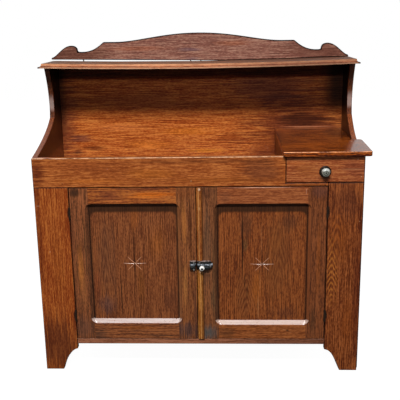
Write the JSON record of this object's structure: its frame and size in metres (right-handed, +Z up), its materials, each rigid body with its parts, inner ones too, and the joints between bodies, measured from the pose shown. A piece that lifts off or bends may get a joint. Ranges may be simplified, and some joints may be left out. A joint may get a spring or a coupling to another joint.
{
  "type": "dry sink cabinet",
  "caption": "Wooden dry sink: a panelled cupboard under a deep open well, with a small drawer and counter at one end, shaped cheeks, a top shelf and a shaped crest board.",
  "frame": {"origin": "middle of the base: the middle of the overall width and depth, on the floor the feet stand on", "axes": "+Z up, -Y towards the front with the doors and drawer, +X to the right as seen from the front"},
  "size_m": [1.255, 0.5112, 1.2699],
  "materials": {
    "case_wood": "red-brown varnish, glossy and worn",
    "splash_wood": "red-brown varnish, glossy",
    "door_wood": "brown varnish, satin",
    "panel_wood": "brown varnish, satin",
    "counter_wood": "dark red-brown varnish, glossy",
    "bead_wood": "worn varnish",
    "raw_wood": "bare aged pine",
    "cast_iron": "black japanned casting",
    "hinge_iron": "dark aged iron",
    "porcelain": "white glazed porcelain, opaque",
    "knob_metal": "dull grey metal",
    "dark_metal": "dark tarnished metal"
  },
  "bodies": {
    "case": {"left_side_board": "case_wood", "right_side_board": "case_wood", "left_front_stile": "case_wood", "right_front_stile": "case_wood", "sink_apron": "case_wood", "cupboard_floor": "case_wood", "sink_deck": "splash_wood", "splash_board": "splash_wood", "upper_back_board": "raw_wood", "lower_back_board": "raw_wood", "cupboard_shelf": "raw_wood", "left_shelf_cleat": "raw_wood", "right_shelf_cleat": "raw_wood", "drawer_divider": "splash_wood", "drawer_counter": "counter_wood", "top_shelf": "case_wood", "crest_board": "case_wood", "crest_nail_1": "hinge_iron", "crest_nail_2": "hinge_iron", "crest_nail_3": "hinge_iron", "left_door_upper_hinge_case_leaf": "hinge_iron", "left_door_upper_hinge_pin": "hinge_iron", "left_door_lower_hinge_case_leaf": "hinge_iron", "left_door_lower_hinge_pin": "hinge_iron", "right_door_upper_hinge_case_leaf": "hinge_iron", "right_door_upper_hinge_pin": "hinge_iron", "right_door_lower_hinge_case_leaf": "hinge_iron", "right_door_lower_hinge_pin": "hinge_iron"},
    "left_door": {"left_door_upper_hinge_door_leaf": "hinge_iron", "left_door_lower_hinge_door_leaf": "hinge_iron", "left_door_hinge_stile": "door_wood", "left_door_lock_stile": "door_wood", "left_door_top_rail": "door_wood", "left_door_bottom_rail": "door_wood", "left_door_panel": "panel_wood", "latch_keeper": "cast_iron", "keeper_screw_1": "hinge_iron", "keeper_screw_2": "hinge_iron"},
    "right_door": {"right_door_upper_hinge_door_leaf": "hinge_iron", "right_door_lower_hinge_door_leaf": "hinge_iron", "right_door_hinge_stile": "door_wood", "right_door_lock_stile": "door_wood", "right_door_top_rail": "door_wood", "right_door_bottom_rail": "door_wood", "right_door_panel": "panel_wood", "lower_door_bead": "bead_wood", "upper_door_bead": "bead_wood", "latch_case": "cast_iron", "latch_case_screw_1": "hinge_iron", "latch_case_screw_2": "hinge_iron"},
    "latch": {"latch_bolt": "hinge_iron", "latch_knob": "porcelain"},
    "drawer": {"drawer_front": "case_wood", "drawer_left_side": "raw_wood", "drawer_right_side": "raw_wood", "drawer_back": "raw_wood", "drawer_bottom": "raw_wood", "drawer_knob_rosette": "dark_metal", "drawer_knob": "knob_metal", "drawer_knob_nut": "dark_metal"}
  },
  "joints": [
    {"name": "left_door_hinge", "type": "hinge", "parent": "case", "child": "left_door", "pos_m": [-0.479, -0.2287, 0.436], "axis": [0, 0, -1], "range_deg": [0, 160]},
    {"name": "right_door_hinge", "type": "hinge", "parent": "case", "child": "right_door", "pos_m": [0.474, -0.2287, 0.436], "axis": [0, 0, 1], "range_deg": [0, 160]},
    {"name": "latch_bolt_slide", "type": "slide", "parent": "right_door", "child": "latch", "axis": [-1, 0, 0], "range_m": [0, 0.01]},
    {"name": "drawer_slide", "type": "slide", "parent": "case", "child": "drawer", "axis": [0, -1, 0], "range_m": [0, 0.3]}
  ]
}
